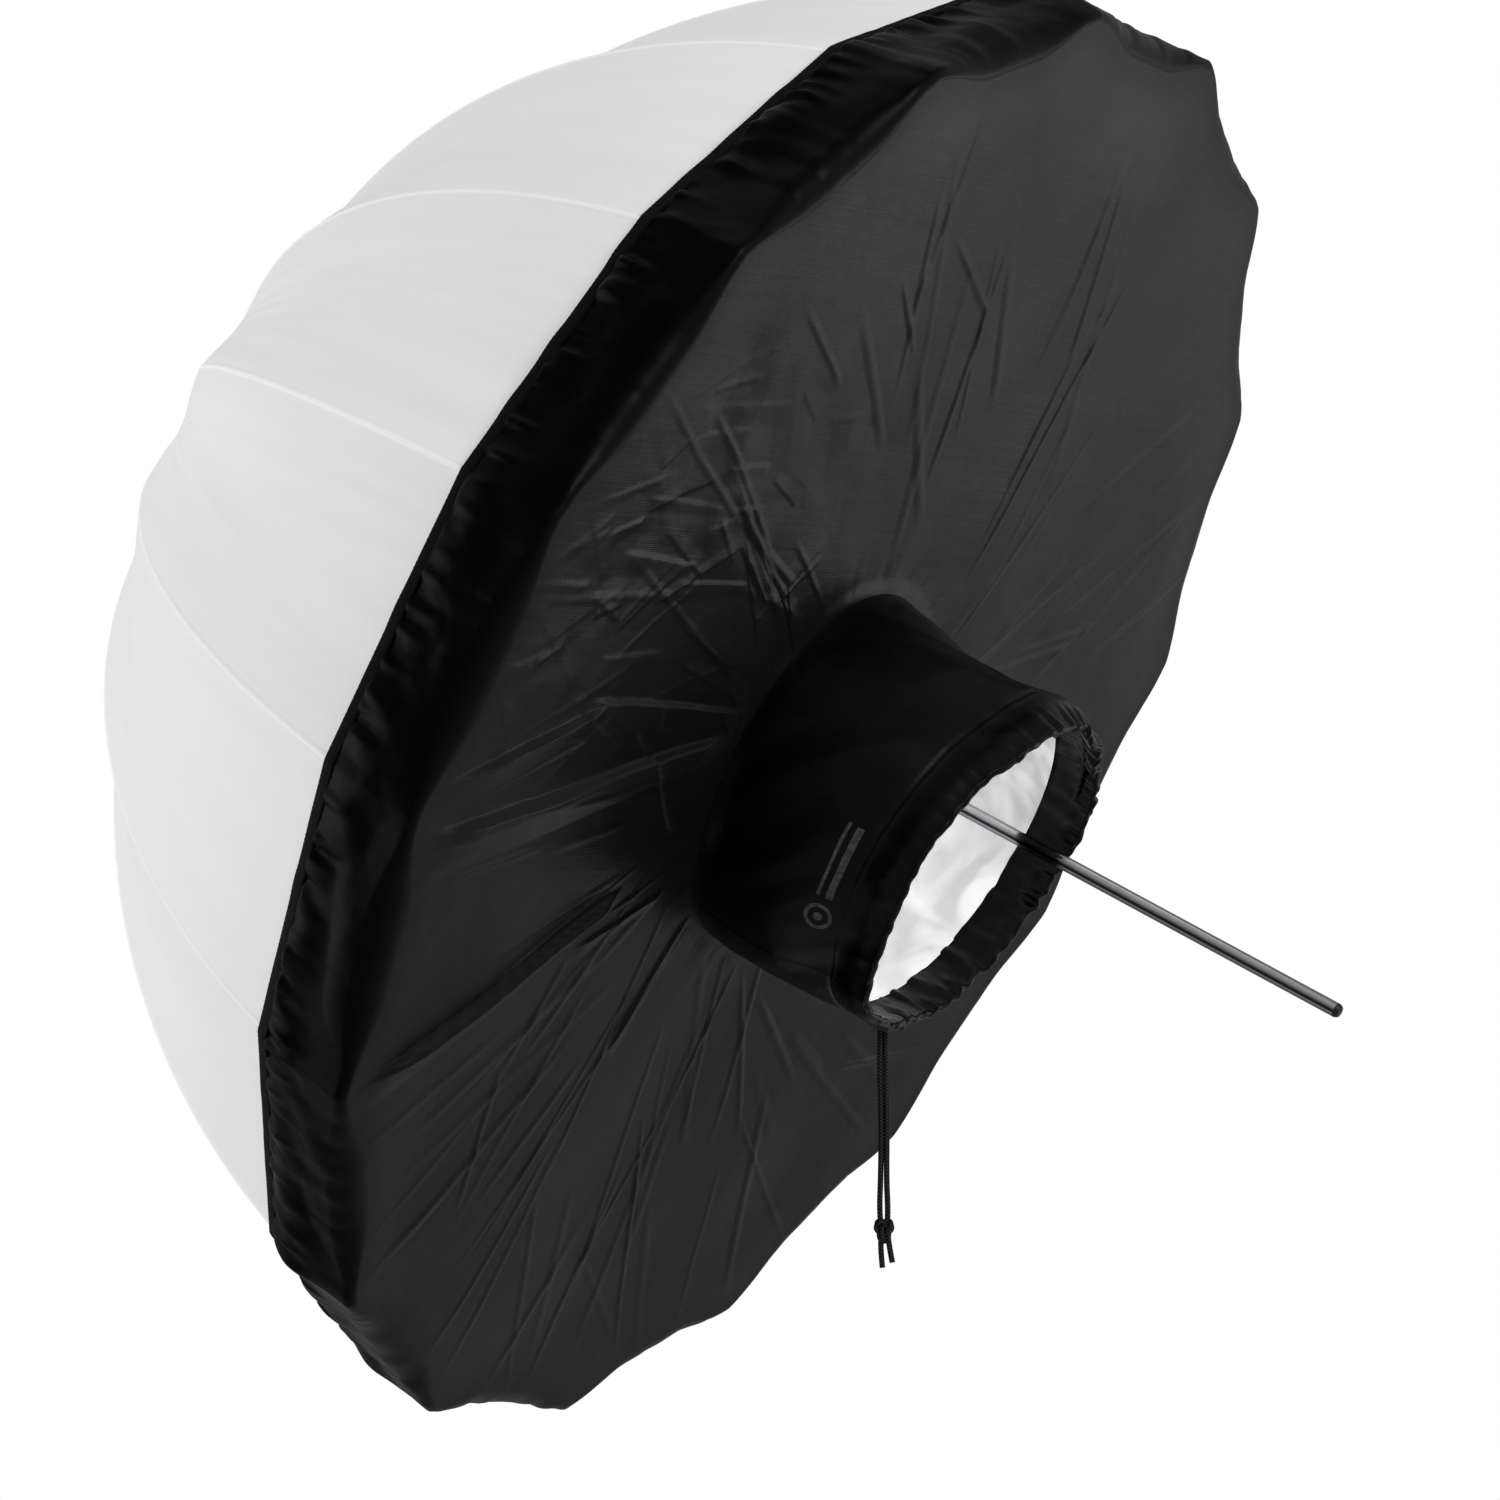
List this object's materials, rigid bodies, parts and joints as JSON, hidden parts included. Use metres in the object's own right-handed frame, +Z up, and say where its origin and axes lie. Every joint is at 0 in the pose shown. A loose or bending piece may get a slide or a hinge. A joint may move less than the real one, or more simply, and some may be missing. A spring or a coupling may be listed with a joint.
{
  "type": "umbrella reflector",
  "caption": "Deep folding photographic umbrella with a white diffusion canopy, a fitted black back panel with a gathered sleeve and drawcord, and a plated shaft.",
  "frame": {"origin": "point on the shaft's axis where a clamp grips it, 295 mm from the rim plane toward the free end", "axes": "+Z up as the umbrella is used, +X level toward the shaft's free end with the shaft sloping 26 degrees down that way, +Y across"},
  "size_m": [0.7017, 0.8558, 0.7893],
  "materials": {
    "bright_steel": "polished plate",
    "black_nylon": "moulded, fine satin",
    "fibreglass_rod": "pultruded, smooth",
    "steel_arm": "plated",
    "white_diffusion_cloth": "fine woven nylon",
    "black_cloth": "coated taffeta",
    "black_binding": "elastic tape",
    "white_lining": "coated taffeta, satin",
    "black_braid": "braided cord"
  },
  "bodies": {
    "shaft": {"shaft_tube": "bright_steel", "shaft_end_cap": "bright_steel", "shaft_collar": "bright_steel", "crown_hub": "black_nylon", "crown_wire": "bright_steel", "crown_washer": "black_nylon", "crown_finial": "bright_steel"},
    "runner": {"runner": "black_nylon", "runner_wire": "bright_steel"},
    "catch": {"runner_button": "black_nylon"},
    "rib_01_arm": {"rib_01": "fibreglass_rod", "canopy_panel_01": "white_diffusion_cloth"},
    "stretcher_01_arm": {"stretcher_01": "steel_arm"},
    "rib_02_arm": {"rib_02": "fibreglass_rod"},
    "stretcher_02_arm": {"stretcher_02": "steel_arm"},
    "rib_03_arm": {"rib_03": "fibreglass_rod", "canopy_panel_03": "white_diffusion_cloth"},
    "stretcher_03_arm": {"stretcher_03": "steel_arm"},
    "rib_04_arm": {"rib_04": "fibreglass_rod"},
    "stretcher_04_arm": {"stretcher_04": "steel_arm"},
    "rib_05_arm": {"rib_05": "fibreglass_rod", "canopy_panel_05": "white_diffusion_cloth"},
    "stretcher_05_arm": {"stretcher_05": "steel_arm"},
    "rib_06_arm": {"rib_06": "fibreglass_rod"},
    "stretcher_06_arm": {"stretcher_06": "steel_arm"},
    "rib_07_arm": {"rib_07": "fibreglass_rod", "canopy_panel_07": "white_diffusion_cloth"},
    "stretcher_07_arm": {"stretcher_07": "steel_arm"},
    "rib_08_arm": {"rib_08": "fibreglass_rod"},
    "stretcher_08_arm": {"stretcher_08": "steel_arm"},
    "rib_09_arm": {"rib_09": "fibreglass_rod", "canopy_panel_09": "white_diffusion_cloth"},
    "stretcher_09_arm": {"stretcher_09": "steel_arm"},
    "rib_10_arm": {"rib_10": "fibreglass_rod"},
    "stretcher_10_arm": {"stretcher_10": "steel_arm"},
    "rib_11_arm": {"rib_11": "fibreglass_rod", "canopy_panel_11": "white_diffusion_cloth"},
    "stretcher_11_arm": {"stretcher_11": "steel_arm"},
    "rib_12_arm": {"rib_12": "fibreglass_rod"},
    "stretcher_12_arm": {"stretcher_12": "steel_arm"},
    "rib_13_arm": {"rib_13": "fibreglass_rod", "canopy_panel_13": "white_diffusion_cloth"},
    "stretcher_13_arm": {"stretcher_13": "steel_arm"},
    "rib_14_arm": {"rib_14": "fibreglass_rod"},
    "stretcher_14_arm": {"stretcher_14": "steel_arm"},
    "rib_15_arm": {"rib_15": "fibreglass_rod", "canopy_panel_15": "white_diffusion_cloth"},
    "stretcher_15_arm": {"stretcher_15": "steel_arm"},
    "rib_16_arm": {"rib_16": "fibreglass_rod"},
    "stretcher_16_arm": {"stretcher_16": "steel_arm"},
    "back_panel": {"back_panel_face": "black_cloth", "back_panel_band": "black_cloth", "back_panel_hem": "black_binding", "sleeve": "black_cloth", "sleeve_lining": "white_lining", "sleeve_cuff": "black_cloth", "drawcord_loop": "black_braid", "drawcord_front": "black_braid", "drawcord_back": "black_braid", "drawcord_knot": "black_braid"}
  },
  "joints": [
    {"name": "runner_slide", "type": "slide", "parent": "shaft", "child": "runner", "axis": [0.8988, 0, -0.4384], "range_m": [0, 0.2511]},
    {"name": "catch_press", "type": "slide", "parent": "runner", "child": "catch", "axis": [-0.4384, 0, -0.8988], "range_m": [0, 0.002], "stiffness_N_per_m": 600, "springref_m": -0.001},
    {"name": "rib_01_hinge", "type": "hinge", "parent": "shaft", "child": "rib_01_arm", "pos_m": [-0.62219, -0.00181, 0.32115], "axis": [0.0496, 0.9936, 0.1017], "range_deg": [0, 44.98], "deforming": ["canopy_panel_01"]},
    {"name": "stretcher_01_hinge", "type": "hinge", "parent": "runner", "child": "stretcher_01_arm", "pos_m": [-0.47969, -0.00147, 0.24833], "axis": [-0.0496, -0.9936, -0.1017], "range_deg": [0, 49.23]},
    {"name": "rib_02_hinge", "type": "hinge", "parent": "shaft", "child": "rib_02_arm", "pos_m": [-0.62302, -0.00776, 0.31944], "axis": [0.2125, 0.8746, 0.4357], "range_deg": [0, 44.98]},
    {"name": "stretcher_02_hinge", "type": "hinge", "parent": "runner", "child": "stretcher_02_arm", "pos_m": [-0.48036, -0.0063, 0.24694], "axis": [-0.2125, -0.8746, -0.4357], "range_deg": [0, 49.23]},
    {"name": "rib_03_hinge", "type": "hinge", "parent": "shaft", "child": "rib_03_arm", "pos_m": [-0.62479, -0.01252, 0.31581], "axis": [0.3431, 0.6225, 0.7034], "range_deg": [0, 44.98], "deforming": ["canopy_panel_03"]},
    {"name": "stretcher_03_hinge", "type": "hinge", "parent": "runner", "child": "stretcher_03_arm", "pos_m": [-0.4818, -0.01017, 0.24399], "axis": [-0.3431, -0.6225, -0.7034], "range_deg": [0, 49.23]},
    {"name": "rib_04_hinge", "type": "hinge", "parent": "shaft", "child": "rib_04_arm", "pos_m": [-0.62722, -0.01538, 0.31082], "axis": [0.4214, 0.2756, 0.864], "range_deg": [0, 44.98]},
    {"name": "stretcher_04_hinge", "type": "hinge", "parent": "runner", "child": "stretcher_04_arm", "pos_m": [-0.48378, -0.0125, 0.23994], "axis": [-0.4214, -0.2756, -0.864], "range_deg": [0, 49.23]},
    {"name": "rib_05_hinge", "type": "hinge", "parent": "shaft", "child": "rib_05_arm", "pos_m": [-0.62995, -0.0159, 0.30523], "axis": [0.4356, -0.1132, 0.893], "range_deg": [0, 44.98], "deforming": ["canopy_panel_05"]},
    {"name": "stretcher_05_hinge", "type": "hinge", "parent": "runner", "child": "stretcher_05_arm", "pos_m": [-0.48599, -0.01292, 0.2354], "axis": [-0.4356, 0.1132, -0.893], "range_deg": [0, 49.23]},
    {"name": "rib_06_hinge", "type": "hinge", "parent": "shaft", "child": "rib_06_arm", "pos_m": [-0.63256, -0.01399, 0.29989], "axis": [0.3834, -0.4848, 0.7861], "range_deg": [0, 44.98]},
    {"name": "stretcher_06_hinge", "type": "hinge", "parent": "runner", "child": "stretcher_06_arm", "pos_m": [-0.48811, -0.01137, 0.23106], "axis": [-0.3834, 0.4848, -0.7861], "range_deg": [0, 49.23]},
    {"name": "rib_07_hinge", "type": "hinge", "parent": "shaft", "child": "rib_07_arm", "pos_m": [-0.63465, -0.00996, 0.29561], "axis": [0.2729, -0.7826, 0.5595], "range_deg": [0, 44.98], "deforming": ["canopy_panel_07"]},
    {"name": "stretcher_07_hinge", "type": "hinge", "parent": "runner", "child": "stretcher_07_arm", "pos_m": [-0.48981, -0.00809, 0.22758], "axis": [-0.2729, 0.7826, -0.5595], "range_deg": [0, 49.23]},
    {"name": "rib_08_hinge", "type": "hinge", "parent": "shaft", "child": "rib_08_arm", "pos_m": [-0.6359, -0.00441, 0.29304], "axis": [0.1208, -0.9613, 0.2477], "range_deg": [0, 44.98]},
    {"name": "stretcher_08_hinge", "type": "hinge", "parent": "runner", "child": "stretcher_08_arm", "pos_m": [-0.49083, -0.00358, 0.22549], "axis": [-0.1208, 0.9613, -0.2477], "range_deg": [0, 49.23]},
    {"name": "rib_09_hinge", "type": "hinge", "parent": "shaft", "child": "rib_09_arm", "pos_m": [-0.63612, 0.00181, 0.29257], "axis": [-0.0496, -0.9936, -0.1017], "range_deg": [0, 44.98], "deforming": ["canopy_panel_09"]},
    {"name": "stretcher_09_hinge", "type": "hinge", "parent": "runner", "child": "stretcher_09_arm", "pos_m": [-0.49101, 0.00147, 0.22511], "axis": [0.0496, 0.9936, 0.1017], "range_deg": [0, 49.23]},
    {"name": "rib_10_hinge", "type": "hinge", "parent": "shaft", "child": "rib_10_arm", "pos_m": [-0.63529, 0.00776, 0.29428], "axis": [-0.2125, -0.8746, -0.4357], "range_deg": [0, 44.98]},
    {"name": "stretcher_10_hinge", "type": "hinge", "parent": "runner", "child": "stretcher_10_arm", "pos_m": [-0.49033, 0.0063, 0.2265], "axis": [0.2125, 0.8746, 0.4357], "range_deg": [0, 49.23]},
    {"name": "rib_11_hinge", "type": "hinge", "parent": "shaft", "child": "rib_11_arm", "pos_m": [-0.63352, 0.01252, 0.29791], "axis": [-0.3431, -0.6225, -0.7034], "range_deg": [0, 44.98], "deforming": ["canopy_panel_11"]},
    {"name": "stretcher_11_hinge", "type": "hinge", "parent": "runner", "child": "stretcher_11_arm", "pos_m": [-0.4889, 0.01017, 0.22945], "axis": [0.3431, 0.6225, 0.7034], "range_deg": [0, 49.23]},
    {"name": "rib_12_hinge", "type": "hinge", "parent": "shaft", "child": "rib_12_arm", "pos_m": [-0.63109, 0.01538, 0.3029], "axis": [-0.4214, -0.2756, -0.864], "range_deg": [0, 44.98]},
    {"name": "stretcher_12_hinge", "type": "hinge", "parent": "runner", "child": "stretcher_12_arm", "pos_m": [-0.48692, 0.0125, 0.2335], "axis": [0.4214, 0.2756, 0.864], "range_deg": [0, 49.23]},
    {"name": "rib_13_hinge", "type": "hinge", "parent": "shaft", "child": "rib_13_arm", "pos_m": [-0.62836, 0.0159, 0.30849], "axis": [-0.4356, 0.1132, -0.893], "range_deg": [0, 44.98], "deforming": ["canopy_panel_13"]},
    {"name": "stretcher_13_hinge", "type": "hinge", "parent": "runner", "child": "stretcher_13_arm", "pos_m": [-0.4847, 0.01292, 0.23804], "axis": [0.4356, -0.1132, 0.893], "range_deg": [0, 49.23]},
    {"name": "rib_14_hinge", "type": "hinge", "parent": "shaft", "child": "rib_14_arm", "pos_m": [-0.62576, 0.01399, 0.31383], "axis": [-0.3834, 0.4848, -0.7861], "range_deg": [0, 44.98]},
    {"name": "stretcher_14_hinge", "type": "hinge", "parent": "runner", "child": "stretcher_14_arm", "pos_m": [-0.48259, 0.01137, 0.24239], "axis": [0.3834, -0.4848, 0.7861], "range_deg": [0, 49.23]},
    {"name": "rib_15_hinge", "type": "hinge", "parent": "shaft", "child": "rib_15_arm", "pos_m": [-0.62367, 0.00996, 0.31811], "axis": [-0.2729, 0.7826, -0.5595], "range_deg": [0, 44.98], "deforming": ["canopy_panel_15"]},
    {"name": "stretcher_15_hinge", "type": "hinge", "parent": "runner", "child": "stretcher_15_arm", "pos_m": [-0.48089, 0.00809, 0.24586], "axis": [0.2729, -0.7826, 0.5595], "range_deg": [0, 49.23]},
    {"name": "rib_16_hinge", "type": "hinge", "parent": "shaft", "child": "rib_16_arm", "pos_m": [-0.62241, 0.00441, 0.32068], "axis": [-0.1208, 0.9613, -0.2477], "range_deg": [0, 44.98]},
    {"name": "stretcher_16_hinge", "type": "hinge", "parent": "runner", "child": "stretcher_16_arm", "pos_m": [-0.47987, 0.00358, 0.24795], "axis": [0.1208, -0.9613, 0.2477], "range_deg": [0, 49.23]},
    {"name": "panel_pull", "type": "slide", "parent": "shaft", "child": "back_panel", "axis": [0.8988, 0, -0.4384], "range_m": [0, 0.33367]}
  ],
  "couplings": [
    {"joint": "rib_01_hinge", "follows": "runner_slide", "rad_per_m": 3.1267},
    {"joint": "stretcher_01_hinge", "follows": "runner_slide", "rad_per_m": 3.4219},
    {"joint": "rib_02_hinge", "follows": "runner_slide", "rad_per_m": 3.1267},
    {"joint": "stretcher_02_hinge", "follows": "runner_slide", "rad_per_m": 3.4219},
    {"joint": "rib_03_hinge", "follows": "runner_slide", "rad_per_m": 3.1267},
    {"joint": "stretcher_03_hinge", "follows": "runner_slide", "rad_per_m": 3.4219},
    {"joint": "rib_04_hinge", "follows": "runner_slide", "rad_per_m": 3.1267},
    {"joint": "stretcher_04_hinge", "follows": "runner_slide", "rad_per_m": 3.4219},
    {"joint": "rib_05_hinge", "follows": "runner_slide", "rad_per_m": 3.1267},
    {"joint": "stretcher_05_hinge", "follows": "runner_slide", "rad_per_m": 3.4219},
    {"joint": "rib_06_hinge", "follows": "runner_slide", "rad_per_m": 3.1267},
    {"joint": "stretcher_06_hinge", "follows": "runner_slide", "rad_per_m": 3.4219},
    {"joint": "rib_07_hinge", "follows": "runner_slide", "rad_per_m": 3.1267},
    {"joint": "stretcher_07_hinge", "follows": "runner_slide", "rad_per_m": 3.4219},
    {"joint": "rib_08_hinge", "follows": "runner_slide", "rad_per_m": 3.1267},
    {"joint": "stretcher_08_hinge", "follows": "runner_slide", "rad_per_m": 3.4219},
    {"joint": "rib_09_hinge", "follows": "runner_slide", "rad_per_m": 3.1267},
    {"joint": "stretcher_09_hinge", "follows": "runner_slide", "rad_per_m": 3.4219},
    {"joint": "rib_10_hinge", "follows": "runner_slide", "rad_per_m": 3.1267},
    {"joint": "stretcher_10_hinge", "follows": "runner_slide", "rad_per_m": 3.4219},
    {"joint": "rib_11_hinge", "follows": "runner_slide", "rad_per_m": 3.1267},
    {"joint": "stretcher_11_hinge", "follows": "runner_slide", "rad_per_m": 3.4219},
    {"joint": "rib_12_hinge", "follows": "runner_slide", "rad_per_m": 3.1267},
    {"joint": "stretcher_12_hinge", "follows": "runner_slide", "rad_per_m": 3.4219},
    {"joint": "rib_13_hinge", "follows": "runner_slide", "rad_per_m": 3.1267},
    {"joint": "stretcher_13_hinge", "follows": "runner_slide", "rad_per_m": 3.4219},
    {"joint": "rib_14_hinge", "follows": "runner_slide", "rad_per_m": 3.1267},
    {"joint": "stretcher_14_hinge", "follows": "runner_slide", "rad_per_m": 3.4219},
    {"joint": "rib_15_hinge", "follows": "runner_slide", "rad_per_m": 3.1267},
    {"joint": "stretcher_15_hinge", "follows": "runner_slide", "rad_per_m": 3.4219},
    {"joint": "rib_16_hinge", "follows": "runner_slide", "rad_per_m": 3.1267},
    {"joint": "stretcher_16_hinge", "follows": "runner_slide", "rad_per_m": 3.4219},
    {"joint": "panel_pull", "follows": "runner_slide", "ratio": 1.3288}
  ]
}
